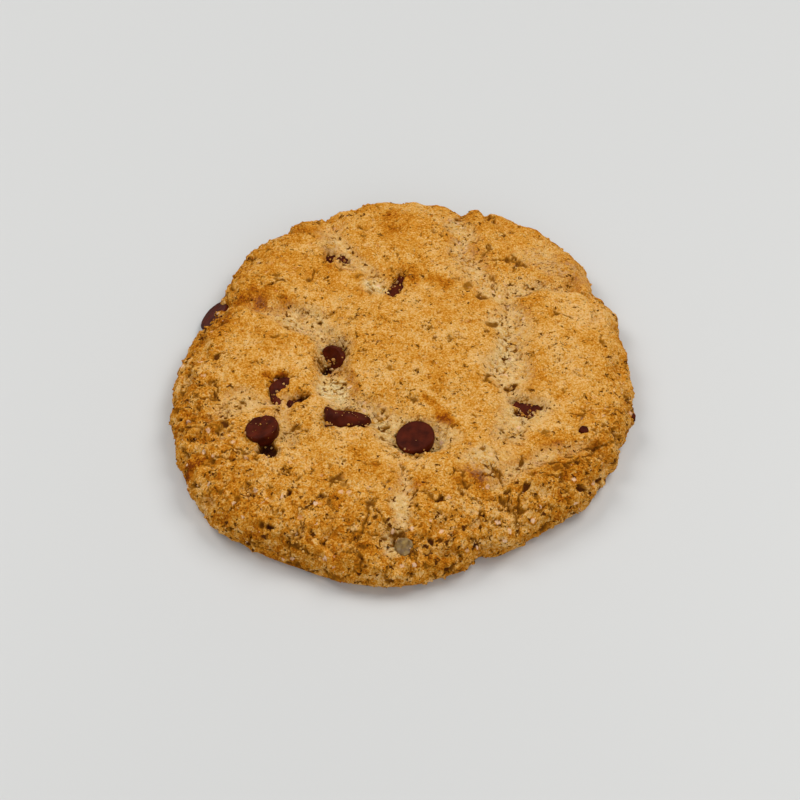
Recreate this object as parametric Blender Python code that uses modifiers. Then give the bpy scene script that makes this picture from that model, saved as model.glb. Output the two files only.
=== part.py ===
"""
A baked chocolate chip cookie, about 103 mm across and 111 mm deep.

One round of dough with a domed and cracked top, a rounded edge and a flat base, and
the chocolate chips and the lump of melted sugar that show in it, each a turned drop
in a pocket of its own.
Metres, +Z up. The origin is the middle of the flat base, and -Y is the front.
"""

import math
from itertools import product

import bmesh
import bpy
import numpy as np
from mathutils import Matrix, Vector

# Outline of the dough, seen from above: turn from +X in degrees, and reach
OUTLINE = (
    (0, 0.0513),
    (22, 0.0523),
    (50, 0.0562),
    (72, 0.0564),
    (92, 0.0554),
    (118, 0.0545),
    (138, 0.0511),
    (160, 0.0484),
    (178, 0.0501),
    (200, 0.0522),
    (224, 0.0568),
    (246, 0.0557),
    (268, 0.0553),
    (292, 0.0516),
    (310, 0.0504),
    (335, 0.0514),
)
# Splits of the crust at the edge: turn, depth, and half width in degrees
NOTCHES = (
    (34, 0.0016, 4),
    (76, 0.0004, 2),
    (105, 0.0011, 5),
    (125, 0.0019, 3),
    (158, 0.0020, 9),
    (235, 0.0006, 2),
    (290, 0.0020, 3),
    (340, 0.0009, 2),
)

# Section of the dough, from the middle of the top to the foot of the edge
CROWN_HEIGHT = 0.0104
CROWN_SAG = 0.0010
BULGE_HEIGHT = 0.0033
SHOULDER_POWER = 13
EDGE_POWER = 2.2
FOOT_SHARE = 0.962
MEAN_REACH = 0.054

# Broad swells of the crust: x, y, half length, half width, turn in degrees, rise
SWELLS = (
    (0.0030, 0.0040, 0.0200, 0.0165, 10, 0.0013),
    (0.0060, 0.0390, 0.0170, 0.0110, 0, 0.0007),
    (-0.0285, 0.0290, 0.0150, 0.0120, 55, 0.0010),
    (-0.0370, 0.0000, 0.0150, 0.0100, 80, 0.0008),
    (0.0370, 0.0130, 0.0150, 0.0110, 95, 0.0009),
    (0.0300, 0.0350, 0.0130, 0.0090, 140, 0.0004),
    (0.0380, -0.0270, 0.0130, 0.0090, 50, 0.0007),
    (-0.0290, -0.0370, 0.0150, 0.0110, 140, 0.0008),
    (-0.0080, -0.0370, 0.0090, 0.0110, 0, 0.0006),
    (0.0120, -0.0390, 0.0110, 0.0100, 0, 0.0008),
    (0.0125, -0.0285, 0.0080, 0.0050, -20, 0.0006),
    (-0.0195, -0.0270, 0.0070, 0.0050, 0, 0.0005),
)

# Valleys where the top cracked and sank: depth, half width, and the way they run
VALLEYS = (
    (0.0020, 0.0030, ((-0.0340, 0.0155), (-0.0315, 0.0149), (-0.0290, 0.0140), (-0.0225, 0.0120))),
    (0.0023, 0.0038, ((-0.0225, 0.0120), (-0.0185, 0.0080), (-0.0160, 0.0020), (-0.0155, -0.0060))),
    (0.0018, 0.0042, ((-0.0155, -0.0060), (-0.0125, -0.0130), (-0.0040, -0.0180), (0.0080, -0.0205))),
    (0.0014, 0.0034, ((0.0105, 0.0540), (0.0120, 0.0370), (0.0185, 0.0240), (0.0250, 0.0150))),
    (0.0016, 0.0042, ((0.0250, 0.0150), (0.0232, 0.0030), (0.0245, -0.0080), (0.0240, -0.0190))),
    (0.0012, 0.0022, ((0.0430, 0.0270), (0.0350, 0.0255), (0.0280, 0.0250), (0.0225, 0.0215))),
    (0.0014, 0.0020, ((0.0480, -0.0250), (0.0390, -0.0225), (0.0310, -0.0240), (0.0200, -0.0330))),
    (0.0013, 0.0020, ((0.0000, -0.0320), (0.0008, -0.0390), (0.0000, -0.0450), (0.0010, -0.0530))),
    (0.0010, 0.0016, ((-0.0300, -0.0500), (-0.0230, -0.0525), (-0.0160, -0.0530))),
    (0.0012, 0.0028, ((-0.0190, 0.0500), (-0.0180, 0.0400), (-0.0140, 0.0300), (-0.0050, 0.0230))),
    (0.0011, 0.0022, ((-0.0420, -0.0170), (-0.0330, -0.0130), (-0.0270, -0.0140), (-0.0240, -0.0240))),
)

# How far the borders of swells and valleys wander, and over what distance
WANDER = 0.0024
WANDER_SIZE = 0.0075
WANDER_SEED = 70

# Crags of the crust: bump size, height on the top, and height at the edge
CRAGS = (
    (0.0130, 0.00035, 0.00070),
    (0.0062, 0.00038, 0.00080),
    (0.0037, 0.00022, 0.00048),
)
PIT_SPACING = 0.0052
PIT_DEPTH_TOP = 0.0003
PIT_DEPTH_EDGE = 0.0010
CRAG_SEED = 5

# Chocolate: base diameter and length of a whole drop, and its clearance in the dough
DROP_WIDTH = 0.0084
DROP_LENGTH = 0.0062
CLEARANCE = 0.0003
DROP_SIDES = 16
BIT_SIDES = 10

# Each chip: middle of its flat base as x, y and height above the crust, the way its tip
# points as turn and dip in degrees, and its width and length as shares of a whole drop
CHIPS = {
    "chip_disc": ((0.0028, -0.0217, 0.0012), (8, 78), (1.00, 0.95)),
    "chip_bar": ((-0.0168, -0.0181, -0.0001), (3, 5), (0.66, 1.66)),
    "chip_front_left": ((-0.0302, -0.0214, 0.0009), (-25, 72), (0.88, 0.95)),
    "chip_crescent": ((-0.0250, -0.0106, -0.0010), (151, 67), (1.00, 0.90)),
    "chip_valley": ((-0.0166, 0.0010, -0.0013), (40, 34), (0.92, 0.90)),
    "chip_back": ((-0.0024, 0.0234, -0.0009), (-60, 86), (0.98, 0.80)),
    "chip_back_left": ((-0.0169, 0.0315, -0.0010), (100, 84), (0.68, 0.80)),
    "chip_right": ((0.0270, -0.0116, -0.0009), (70, 80), (0.80, 0.80)),
    "chip_rim_left": ((-0.0445, 0.0171, 0.0007), (-12, 48), (1.00, 0.72)),
    "bit_right": ((0.0395, -0.0176, 0.0000), (180, 65), (0.26, 0.36)),
    "bit_rim_right": ((0.0513, -0.0097, 0.0014), (172, 10), (0.22, 0.40)),
    "lump_front": ((0.0014, -0.0494, 0.0003), (92, 52), (0.46, 0.40)),
}
# How a drop tapers, and how thick it is behind its rim: whole, and slumped lengthwise
WHOLE = (2.2, 1.0)
SLUMPED = (10.0, 0.70)
RIM_SHARE = 0.16
# Hollows of the crust that bare the chips: x, y, half length, half width, turn, depth
HOLLOWS = (
    (0.0030, -0.0228, 0.0066, 0.0058, 0, 0.0015),
    (-0.0120, -0.0172, 0.0075, 0.0030, 0, 0.0006),
    (-0.0284, -0.0262, 0.0034, 0.0024, -50, 0.0026),
    (-0.0335, -0.0235, 0.0030, 0.0030, 0, 0.0004),
    (-0.0277, -0.0080, 0.0048, 0.0024, 58, 0.0012),
    (-0.0228, -0.0120, 0.0026, 0.0012, 26, 0.0029),
    (-0.0168, 0.0010, 0.0052, 0.0036, 75, 0.0018),
    (-0.0172, -0.0010, 0.0018, 0.0014, 30, 0.0030),
    (-0.0024, 0.0236, 0.0050, 0.0016, 76, 0.0025),
    (-0.0184, 0.0317, 0.0024, 0.0014, 80, 0.0022),
    (-0.0154, 0.0321, 0.0017, 0.0011, 0, 0.0022),
    (0.0284, -0.0116, 0.0034, 0.0023, 25, 0.0019),
    (0.0246, -0.0098, 0.0022, 0.0011, -20, 0.0019),
    (0.0395, -0.0176, 0.0018, 0.0016, 0, 0.0005),
)

# Mesh of the dough: squares along each side of the grid that wraps it
GRID_SQUARES = 64


def clear_scene():
    """Start from an empty scene."""
    for leftover in list(bpy.data.objects):
        bpy.data.objects.remove(leftover, do_unlink=True)


def new_collection(name):
    """A collection in the scene."""
    collection = bpy.data.collections.new(name)
    bpy.context.scene.collection.children.link(collection)
    return collection


def food_material(name, color, roughness):
    """A plain finish, colour as linear red, green and blue."""
    material = bpy.data.materials.new(name)
    material.use_nodes = True
    surface = material.node_tree.nodes["Principled BSDF"]
    surface.inputs["Base Color"].default_value = (*color, 1)
    surface.inputs["Roughness"].default_value = roughness
    surface.inputs["Metallic"].default_value = 0
    material.diffuse_color = (*color, 1)
    return material


def smooth_step(value):
    """Ease from 0 to 1 as the value goes from 0 to 1."""
    value = np.clip(value, 0, 1)
    return value * value * (3 - 2 * value)


def cell_number(cell, channel):
    """A repeatable number from 0 to 1 for each whole-numbered cell."""
    mixed = cell @ np.array((73856093, 19349663, 83492791)) + channel * 49979687
    mixed = (mixed ^ (mixed >> 13)) * 1274126177
    mixed = mixed ^ (mixed >> 16)
    return (mixed & 0xFFFF) / 0xFFFF


def bumps(points, size, seed):
    """Smooth noise from about -1 to 1, its bumps about one size apart."""
    scaled = points / size
    corner = np.floor(scaled).astype(np.int64)
    part = scaled - corner
    fade = part**3 * (part * (part * 6 - 15) + 10)
    total = np.zeros(len(points))
    for step in product((0, 1), repeat=3):
        near = np.array(step)
        slope = np.stack([cell_number(corner + near, 3 * seed + axis) for axis in range(3)], axis=1)
        weight = np.prod(np.where(near, fade, 1 - fade), axis=1)
        total += weight * ((slope * 2 - 1) * (part - near)).sum(axis=1)
    return total * 1.8


def reach(turn):
    """Radius of the dough's outline at a turn in radians."""
    angles = np.radians([angle for angle, _ in OUTLINE])
    radii = np.array([radius for _, radius in OUTLINE])
    count = len(OUTLINE)
    turn = np.mod(turn, math.tau)
    place = np.searchsorted(angles, turn, side="right") - 1
    start = angles[place]
    span = np.mod(angles[(place + 1) % count] - start, math.tau)
    share = (turn - start) / span
    before, here, ahead, beyond = (radii[(place + shift) % count] for shift in (-1, 0, 1, 2))
    curve = here + 0.5 * share * (
        ahead - before + share * (2 * before - 5 * here + 4 * ahead - beyond
                                  + share * (3 * (here - ahead) + beyond - before)))
    for angle, depth, half_width in NOTCHES:
        away = np.abs(np.mod(turn - math.radians(angle) + math.pi, math.tau) - math.pi)
        curve = curve - depth * np.exp(-((away / math.radians(half_width)) ** 2))
    return curve


def crown(share):
    """Height of the smooth top at a share of the reach, from 0 in the middle to 1."""
    rise = CROWN_HEIGHT - BULGE_HEIGHT - CROWN_SAG * share**2
    return BULGE_HEIGHT + rise * (1 - share**SHOULDER_POWER) ** (1 / EDGE_POWER)


def section():
    """The section as reach shares, heights, and lengths along it from 0 to 1."""
    top = 1 - np.linspace(1, 0, 240) ** 3
    tuck = np.linspace(0, math.pi / 2, 30)[1:]
    shares = np.concatenate((top, FOOT_SHARE + (1 - FOOT_SHARE) * np.cos(tuck)))
    heights = np.concatenate((crown(top), BULGE_HEIGHT * (1 - np.sin(tuck))))
    steps = np.hypot(np.diff(shares) * MEAN_REACH, np.diff(heights))
    lengths = np.concatenate(((0,), np.cumsum(steps)))
    return shares, heights, lengths / lengths[-1]


def swell_height(x, y):
    """Rise of the broad swells of the crust at x, y."""
    rise = np.zeros_like(x)
    for centre_x, centre_y, length, width, turn, height in SWELLS:
        along, across = turned(x - centre_x, y - centre_y, turn)
        away = np.hypot(along / length, across / width)
        rise += height * (1 - smooth_step((away - 0.55) / 0.65))
    return rise


def turned(x, y, turn):
    """x, y as measured along and across a line at a turn in degrees."""
    cos, sin = math.cos(math.radians(turn)), math.sin(math.radians(turn))
    return x * cos + y * sin, y * cos - x * sin


def valley_depth(x, y):
    """Depth of the valleys of the crust at x, y."""
    depth = np.zeros_like(x)
    for deepest, half_width, way in VALLEYS:
        nearest = np.full_like(x, np.inf)
        for (start_x, start_y), (end_x, end_y) in zip(way, way[1:]):
            run_x, run_y = end_x - start_x, end_y - start_y
            along = ((x - start_x) * run_x + (y - start_y) * run_y) / (run_x**2 + run_y**2)
            along = np.clip(along, 0, 1)
            away = np.hypot(x - start_x - along * run_x, y - start_y - along * run_y)
            nearest = np.minimum(nearest, away)
        depth = np.maximum(depth, deepest * (1 - smooth_step((nearest / half_width - 0.15) / 1.25)))
    return depth


def hollow_depth(x, y):
    """Depth of the hollows of the crust round the chips at x, y."""
    depth = np.zeros_like(x)
    for centre_x, centre_y, length, width, turn, deepest in HOLLOWS:
        along, across = turned(x - centre_x, y - centre_y, turn)
        away = np.hypot(along / length, across / width)
        depth = np.maximum(depth, deepest * (1 - smooth_step((away - 0.5) / 0.7)))
    return depth


def crag_height(points, edge):
    """Height of the crags at each point; edge runs from 0 on the top to 1 at the rim."""
    rise = np.zeros(len(points))
    for order, (size, on_top, at_edge) in enumerate(CRAGS):
        rise += (on_top + (at_edge - on_top) * edge) * bumps(points, size, CRAG_SEED + order)
    pits = smooth_step((bumps(points, PIT_SPACING, CRAG_SEED + len(CRAGS)) - 0.22) / 0.3)
    return rise - (PIT_DEPTH_TOP + (PIT_DEPTH_EDGE - PIT_DEPTH_TOP) * edge) * pits


def form_height(x, y):
    """Rise and fall of the crust at x, y: its swells and valleys, with wandering borders."""
    flat = np.stack((x, y, np.zeros_like(x)), axis=1)
    x = x + WANDER * bumps(flat, WANDER_SIZE, WANDER_SEED)
    y = y + WANDER * bumps(flat, WANDER_SIZE, WANDER_SEED + 1)
    return swell_height(x, y) - valley_depth(x, y)


def crust_height(x, y):
    """Height of the crust at one place, without its crags."""
    x, y = np.array([x]), np.array([y])
    share = np.minimum(np.hypot(x, y) / reach(np.arctan2(y, x)), 1)
    return float((crown(share) + form_height(x, y))[0])


def dough_points(across, along):
    """Points of the dough's skin for places in a square from -1 to 1."""
    wide = np.abs(across) > np.abs(along)
    far = np.where(wide, across, along)
    ratio = np.where(wide, along, across) / np.where(far == 0, 1, far)
    turn = np.where(wide, ratio, 2 - ratio) * math.pi / 4
    turn = np.where(far < 0, turn + math.pi, turn)
    shares, heights, lengths = section()
    away = np.abs(far)
    share = np.interp(away, lengths, shares)
    height = np.interp(away, lengths, heights)
    slope_out = np.interp(away, lengths, -np.gradient(heights, lengths))
    slope_up = np.interp(away, lengths, np.gradient(shares * MEAN_REACH, lengths))
    steepness = np.hypot(slope_out, slope_up)
    distance = share * reach(turn)
    x, y = distance * np.cos(turn), distance * np.sin(turn)
    base = np.stack((x, y, height), axis=1)
    edge = smooth_step((share - 0.72) / 0.22)
    rise = form_height(x, y) - hollow_depth(x, y) + crag_height(base, edge)
    rise *= smooth_step(height / BULGE_HEIGHT)
    normal = np.stack((np.cos(turn) * slope_out, np.sin(turn) * slope_out, slope_up), axis=1)
    return base + normal / steepness[:, None] * rise[:, None]


def make_dough(collection, material):
    """The round of dough: a grid wrapped over its top and edge, and a flat base."""
    shell = bmesh.new()
    bmesh.ops.create_grid(shell, x_segments=GRID_SQUARES, y_segments=GRID_SQUARES, size=1)
    square = np.array([vertex.co for vertex in shell.verts])
    for vertex, point in zip(shell.verts, dough_points(square[:, 0], square[:, 1])):
        vertex.co = point
    foot = [edge for edge in shell.edges if edge.is_boundary]
    for edge in foot:
        for vertex in edge.verts:
            vertex.co.z = 0
    bmesh.ops.contextual_create(shell, geom=foot)
    bmesh.ops.recalc_face_normals(shell, faces=shell.faces)
    mesh = bpy.data.meshes.new("cookie")
    shell.to_mesh(mesh)
    shell.free()
    mesh.materials.append(material)
    mesh.shade_smooth()
    mesh.set_sharp_from_angle(angle=math.radians(50))
    dough = bpy.data.objects.new("cookie", mesh)
    collection.objects.link(dough)
    return dough


def drop_profile(width, length, shape, grow):
    """Half section of a chocolate drop, tip first, grown all round by a clearance."""
    power, body = shape
    climb = np.array((0.90, 0.66, 0.36, 0.12))
    thick = body + (1 - body) * np.exp(-((climb / RIM_SHARE) ** 2))
    radii = width / 2 * thick * (1 - climb**power) ** 0.9 + grow
    sides = [(radius, length * share + grow * share) for radius, share in zip(radii, climb)]
    return (0, length + grow), *sides, (width / 2 * 0.95 + grow, -grow), (0, -grow)


def make_drop(name, collection, material, size, sides, grow):
    """A drop of chocolate, turned round its own +Z, with its flat base on the origin."""
    shape = SLUMPED if name.startswith("chip_bar") else WHOLE
    profile = drop_profile(size[0] * DROP_WIDTH, size[1] * DROP_LENGTH, shape, grow)
    mesh = bpy.data.meshes.new(name)
    links = [(index, index + 1) for index in range(len(profile) - 1)]
    mesh.from_pydata([(float(x), 0, float(z)) for x, z in profile], links, [])
    mesh.materials.append(material)
    drop = bpy.data.objects.new(name, mesh)
    collection.objects.link(drop)
    screw = drop.modifiers.new("turned", "SCREW")
    screw.axis = "Z"
    screw.steps = sides
    screw.render_steps = sides
    screw.use_merge_vertices = True
    screw.merge_threshold = 0.00005
    screw.use_normal_calculate = False
    screw.use_smooth_shade = True
    return drop


def lay(drop, place, aim):
    """Put a drop's base middle at a place, with its tip at a turn and a dip."""
    turn, dip = (math.radians(angle) for angle in aim)
    tip = Vector((math.cos(turn) * math.cos(dip), math.sin(turn) * math.cos(dip), -math.sin(dip)))
    drop.matrix_world = Matrix.Translation(place) @ tip.to_track_quat("Z", "Y").to_matrix().to_4x4()


def build():
    """Make the dough and its chips, and cut a pocket in the dough for each chip."""
    clear_scene()
    parts = new_collection("chocolate_chip_cookie")
    cutters = new_collection("pockets")
    dough_finish = food_material("baked dough", (0.62, 0.36, 0.11), 0.75)
    chip_finish = food_material("dark chocolate", (0.045, 0.016, 0.010), 0.45)
    lump_finish = food_material("melted sugar", (0.26, 0.17, 0.07), 0.35)
    dough = make_dough(parts, dough_finish)
    for name, ((x, y, above), aim, size) in CHIPS.items():
        place = Vector((x, y, crust_height(x, y) + above))
        sides = DROP_SIDES if name.startswith("chip") else BIT_SIDES
        finish = lump_finish if name == "lump_front" else chip_finish
        drop = make_drop(name, parts, finish, size, sides, 0)
        pocket = make_drop(f"{name}_pocket", cutters, finish, size, sides, CLEARANCE)
        pocket.hide_render = True
        pocket.display_type = "WIRE"
        for piece in (drop, pocket):
            lay(piece, place, aim)
        cut = dough.modifiers.new(f"{name} pocket", "BOOLEAN")
        cut.operation = "DIFFERENCE"
        cut.solver = "EXACT"
        cut.object = pocket


build()
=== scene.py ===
"""
The chocolate chip cookie as it looks: baked crumbly dough, dark chocolate drops,
crumbs and grains of sugar, on a plain pale floor in soft light.

Metres, +Z up, in the frame of the solids. The dough keeps their form, named by the
same sizes, and adds what is too fine for them: grains, pits, cracks and flakes.
"""

import math
from itertools import product

import bmesh
import bpy
import numpy as np
from mathutils import Matrix, Vector


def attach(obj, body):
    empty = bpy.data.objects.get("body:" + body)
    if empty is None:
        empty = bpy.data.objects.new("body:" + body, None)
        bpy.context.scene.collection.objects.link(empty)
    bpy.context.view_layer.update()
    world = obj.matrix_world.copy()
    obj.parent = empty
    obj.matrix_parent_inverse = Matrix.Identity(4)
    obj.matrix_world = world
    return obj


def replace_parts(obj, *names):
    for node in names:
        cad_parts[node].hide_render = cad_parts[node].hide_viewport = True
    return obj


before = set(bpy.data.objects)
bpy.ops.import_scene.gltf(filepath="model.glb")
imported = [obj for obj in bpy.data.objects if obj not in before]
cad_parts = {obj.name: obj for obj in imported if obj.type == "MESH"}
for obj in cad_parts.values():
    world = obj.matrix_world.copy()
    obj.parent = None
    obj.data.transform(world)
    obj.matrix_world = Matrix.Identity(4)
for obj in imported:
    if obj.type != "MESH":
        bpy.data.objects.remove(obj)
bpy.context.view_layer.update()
MM = 0.001

# Outline of the dough, seen from above: turn from +X in degrees, and reach
OUTLINE = (
    (0, 0.0513),
    (22, 0.0523),
    (50, 0.0562),
    (72, 0.0564),
    (92, 0.0554),
    (118, 0.0545),
    (138, 0.0511),
    (160, 0.0484),
    (178, 0.0501),
    (200, 0.0522),
    (224, 0.0568),
    (246, 0.0557),
    (268, 0.0553),
    (292, 0.0516),
    (310, 0.0504),
    (335, 0.0514),
)
# Splits of the crust at the edge: turn, depth, and half width in degrees
NOTCHES = (
    (34, 0.0016, 4),
    (76, 0.0004, 2),
    (105, 0.0011, 5),
    (125, 0.0019, 3),
    (158, 0.0020, 9),
    (235, 0.0006, 2),
    (290, 0.0020, 3),
    (340, 0.0009, 2),
)

# Section of the dough, from the middle of the top to the foot of the edge
CROWN_HEIGHT = 0.0104
CROWN_SAG = 0.0010
BULGE_HEIGHT = 0.0033
SHOULDER_POWER = 13
EDGE_POWER = 2.2
FOOT_SHARE = 0.962
MEAN_REACH = 0.054

# Broad swells of the crust: x, y, half length, half width, turn in degrees, rise
SWELLS = (
    (0.0030, 0.0040, 0.0200, 0.0165, 10, 0.0013),
    (0.0060, 0.0390, 0.0170, 0.0110, 0, 0.0007),
    (-0.0285, 0.0290, 0.0150, 0.0120, 55, 0.0010),
    (-0.0370, 0.0000, 0.0150, 0.0100, 80, 0.0008),
    (0.0370, 0.0130, 0.0150, 0.0110, 95, 0.0009),
    (0.0300, 0.0350, 0.0130, 0.0090, 140, 0.0004),
    (0.0380, -0.0270, 0.0130, 0.0090, 50, 0.0007),
    (-0.0290, -0.0370, 0.0150, 0.0110, 140, 0.0008),
    (-0.0080, -0.0370, 0.0090, 0.0110, 0, 0.0006),
    (0.0120, -0.0390, 0.0110, 0.0100, 0, 0.0008),
    (0.0125, -0.0285, 0.0080, 0.0050, -20, 0.0006),
    (-0.0195, -0.0270, 0.0070, 0.0050, 0, 0.0005),
)

# Valleys where the top cracked and sank: depth, half width, and the way they run
VALLEYS = (
    (0.0020, 0.0030, ((-0.0340, 0.0155), (-0.0315, 0.0149), (-0.0290, 0.0140), (-0.0225, 0.0120))),
    (0.0023, 0.0038, ((-0.0225, 0.0120), (-0.0185, 0.0080), (-0.0160, 0.0020), (-0.0155, -0.0060))),
    (0.0018, 0.0042, ((-0.0155, -0.0060), (-0.0125, -0.0130), (-0.0040, -0.0180), (0.0080, -0.0205))),
    (0.0014, 0.0034, ((0.0105, 0.0540), (0.0120, 0.0370), (0.0185, 0.0240), (0.0250, 0.0150))),
    (0.0016, 0.0042, ((0.0250, 0.0150), (0.0232, 0.0030), (0.0245, -0.0080), (0.0240, -0.0190))),
    (0.0012, 0.0022, ((0.0430, 0.0270), (0.0350, 0.0255), (0.0280, 0.0250), (0.0225, 0.0215))),
    (0.0014, 0.0020, ((0.0480, -0.0250), (0.0390, -0.0225), (0.0310, -0.0240), (0.0200, -0.0330))),
    (0.0013, 0.0020, ((0.0000, -0.0320), (0.0008, -0.0390), (0.0000, -0.0450), (0.0010, -0.0530))),
    (0.0010, 0.0016, ((-0.0300, -0.0500), (-0.0230, -0.0525), (-0.0160, -0.0530))),
    (0.0012, 0.0028, ((-0.0190, 0.0500), (-0.0180, 0.0400), (-0.0140, 0.0300), (-0.0050, 0.0230))),
    (0.0011, 0.0022, ((-0.0420, -0.0170), (-0.0330, -0.0130), (-0.0270, -0.0140), (-0.0240, -0.0240))),
)

# Hollows of the crust that bare the chips: x, y, half length, half width, turn, depth
HOLLOWS = (
    (0.0030, -0.0228, 0.0066, 0.0058, 0, 0.0015),
    (-0.0120, -0.0172, 0.0075, 0.0030, 0, 0.0006),
    (-0.0284, -0.0262, 0.0034, 0.0024, -50, 0.0026),
    (-0.0335, -0.0235, 0.0030, 0.0030, 0, 0.0004),
    (-0.0277, -0.0080, 0.0048, 0.0024, 58, 0.0012),
    (-0.0228, -0.0120, 0.0026, 0.0012, 26, 0.0029),
    (-0.0168, 0.0010, 0.0052, 0.0036, 75, 0.0018),
    (-0.0172, -0.0010, 0.0018, 0.0014, 30, 0.0030),
    (-0.0024, 0.0236, 0.0050, 0.0016, 76, 0.0025),
    (-0.0184, 0.0317, 0.0024, 0.0014, 80, 0.0022),
    (-0.0154, 0.0321, 0.0017, 0.0011, 0, 0.0022),
    (0.0284, -0.0116, 0.0034, 0.0023, 25, 0.0019),
    (0.0246, -0.0098, 0.0022, 0.0011, -20, 0.0019),
    (0.0395, -0.0176, 0.0018, 0.0016, 0, 0.0005),
)

# How far the borders of swells and valleys wander, and over what distance
WANDER = 0.0024
WANDER_SIZE = 0.0075
WANDER_SEED = 70

# Crags of the crust: bump size, height on the top, and height at the edge
CRAGS = (
    (0.0130, 0.00035, 0.00070),
    (0.0062, 0.00038, 0.00080),
    (0.0037, 0.00022, 0.00048),
)
PIT_SPACING = 0.0052
PIT_DEPTH_TOP = 0.0003
PIT_DEPTH_EDGE = 0.0010
CRAG_SEED = 5

# Where the top turns into the edge: from this share of the reach, over this share
SHOULDER = (0.72, 0.22)
# Where the crust turns crumbly: share of the reach, more at the back and right, and over what share
CRUMBLY_FROM = 0.74
CRUMBLY_BACK = 0.16
CRUMBLY_RIGHT = 0.06
CRUMBLY_SPAN = 0.26
# Depths at which a valley, and a hollow, is torn all over
TORN_VALLEY = 0.0016
TORN_HOLLOW = 0.0010
# The crust is nowhere smoother than this
LEAST_ROUGH = 0.12
# How far the crumbs' borders bend: size of the noise and its share, and the reach of it all
BENDS = ((0.0020, 1.0, 20), (0.0009, 0.5, 24))
BEND_REACH = 0.0007

# Grains of the crust, too fine for the solid: bump size, height where smooth, where crumbly
GRAINS = (
    (0.0021, 0.00010, 0.00026),
    (0.0012, 0.00008, 0.00018),
    (0.0007, 0.00005, 0.00011),
)
# Crumbs of the crust: distance between them, how far they stand out of line, how far
# they lean, the share that broke away where smooth and where crumbly, and its depth
CRUMBS = (
    (0.0031, 0.00034, 0.10, 0.004, 0.008, 0.00070),
    (0.0017, 0.00028, 0.16, 0.010, 0.085, 0.00065),
)
# Plates of the crust: distance between them, depth and half width of the cracks, and
# size of the patches where they open
PLATE_SPACING = 0.0065
PLATE_CRACK_DEPTH = 0.0006
PLATE_CRACK_HALF = 0.00034
PLATE_PATCHES = 0.006
# Short splits of the smooth crust: size of the noise that draws them, their depth, and
# size of the patches that have them
DASH_SIZE = 0.0030
DASH_DEPTH = 0.00045
DASH_PATCHES = 0.0024
# A pore of this depth gets the full painted shade of a pore
DEEPEST_PORE = 0.0009
# How far the torn borders of the hollows wander, and over what distance
RAGGED = 0.0009
RAGGED_SIZE = 0.0015
# Hollows get painted shade where deeper than this, over this much, with borders torn by this much
SHADED_HOLLOW = 0.0016
SHADE_SPAN = 0.0008
SHADE_TEAR = 0.0007
SHADE_TEAR_SIZE = 0.0012

# Brown of the crust: on the whole, and more where crumbly, at the back, per metre of rise, in patches
BROWN = 0.26
BROWN_CRUMBLY = 0.13
BROWN_BACK = 0.10
BROWN_HEIGHT = 30
BROWN_PATCH = 0.60
# Clouds of brown: their size and strength
BROWN_CLOUDS = ((0.011, 0.15, 30), (0.004, 0.14, 31))

# The base: its share of the foot, the sizes, shares and seeds of its pits, their depth, and its brown
BASE_SHARE = 0.985
BASE_PITS = ((0.0045, 1.0, 40), (0.0020, 0.5, 41))
BASE_PIT_DEPTH = 0.00045
BASE_BROWN = 0.72

# Patterns of the crust in its colour: size of their bumps, detail, roughness and swirl of
# the noise, and whether they bend as the borders of the crumbs do
PATTERNS = {
    "patchy": (7.0 * MM, 1.0, 0.5, 0.0, False),
    "loose": (3.4 * MM, 2.0, 0.5, 0.0, False),
    "mottle": (2.4 * MM, 5.0, 0.6, 0.0, False),
    "speck": (1.25 * MM, 2.5, 0.62, 0.3, True),
    "clump": (1.05 * MM, 3.0, 0.6, 0.0, True),
    "prick": (0.50 * MM, 1.5, 0.6, 0.0, False),
    "grain": (0.42 * MM, 3.0, 0.6, 0.0, False),
}
# How much each pattern swings the tone; flakes do so only where the crust is rough
TONE_SWINGS = {"mottle": 0.62, "clump": 0.78, "flake": 0.42, "grain": 1.7}
# Colours of the crust from its palest tone to its brownest
CRUST_COLORS = ((0.0, "E8B974"), (0.28, "D99B3E"), (0.52, "C87E16"), (0.78, "AC5F02"), (1.0, "7E3802"))
# Sizes of the gaps between crumbs, of flakes, of the bends in their borders, and of splits
GAP_SIZES = (2.7 * MM, 1.4 * MM)
FLAKE_SIZE = 1.5 * MM
BEND_SIZE = 0.9 * MM
SPLIT_SIZE = 0.80 * MM

# Chocolate: base diameter and length of a whole drop
DROP_WIDTH = 0.0084
DROP_LENGTH = 0.0062

# Each chip: middle of its flat base as x, y and height above the crust, the way its tip
# points as turn and dip in degrees, and its width and length as shares of a whole drop
CHIPS = {
    "chip_disc": ((0.0028, -0.0217, 0.0012), (8, 78), (1.00, 0.95)),
    "chip_bar": ((-0.0168, -0.0181, -0.0001), (3, 5), (0.66, 1.66)),
    "chip_front_left": ((-0.0302, -0.0214, 0.0009), (-25, 72), (0.88, 0.95)),
    "chip_crescent": ((-0.0250, -0.0106, -0.0010), (151, 67), (1.00, 0.90)),
    "chip_valley": ((-0.0166, 0.0010, -0.0013), (40, 34), (0.92, 0.90)),
    "chip_back": ((-0.0024, 0.0234, -0.0009), (-60, 86), (0.98, 0.80)),
    "chip_back_left": ((-0.0169, 0.0315, -0.0010), (100, 84), (0.68, 0.80)),
    "chip_right": ((0.0270, -0.0116, -0.0009), (70, 80), (0.80, 0.80)),
    "chip_rim_left": ((-0.0445, 0.0171, 0.0007), (-12, 48), (1.00, 0.72)),
    "bit_right": ((0.0395, -0.0176, 0.0000), (180, 65), (0.26, 0.36)),
    "bit_rim_right": ((0.0513, -0.0097, 0.0014), (172, 10), (0.22, 0.40)),
    "lump_front": ((0.0014, -0.0494, 0.0003), (92, 52), (0.46, 0.40)),
}

# How a drop tapers, and how thick it is behind its rim: whole, and slumped lengthwise
WHOLE = (2.2, 1.0)
SLUMPED = (10.0, 0.70)
RIM_SHARE = 0.16
DROP_FILLET = 0.00045
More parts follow.
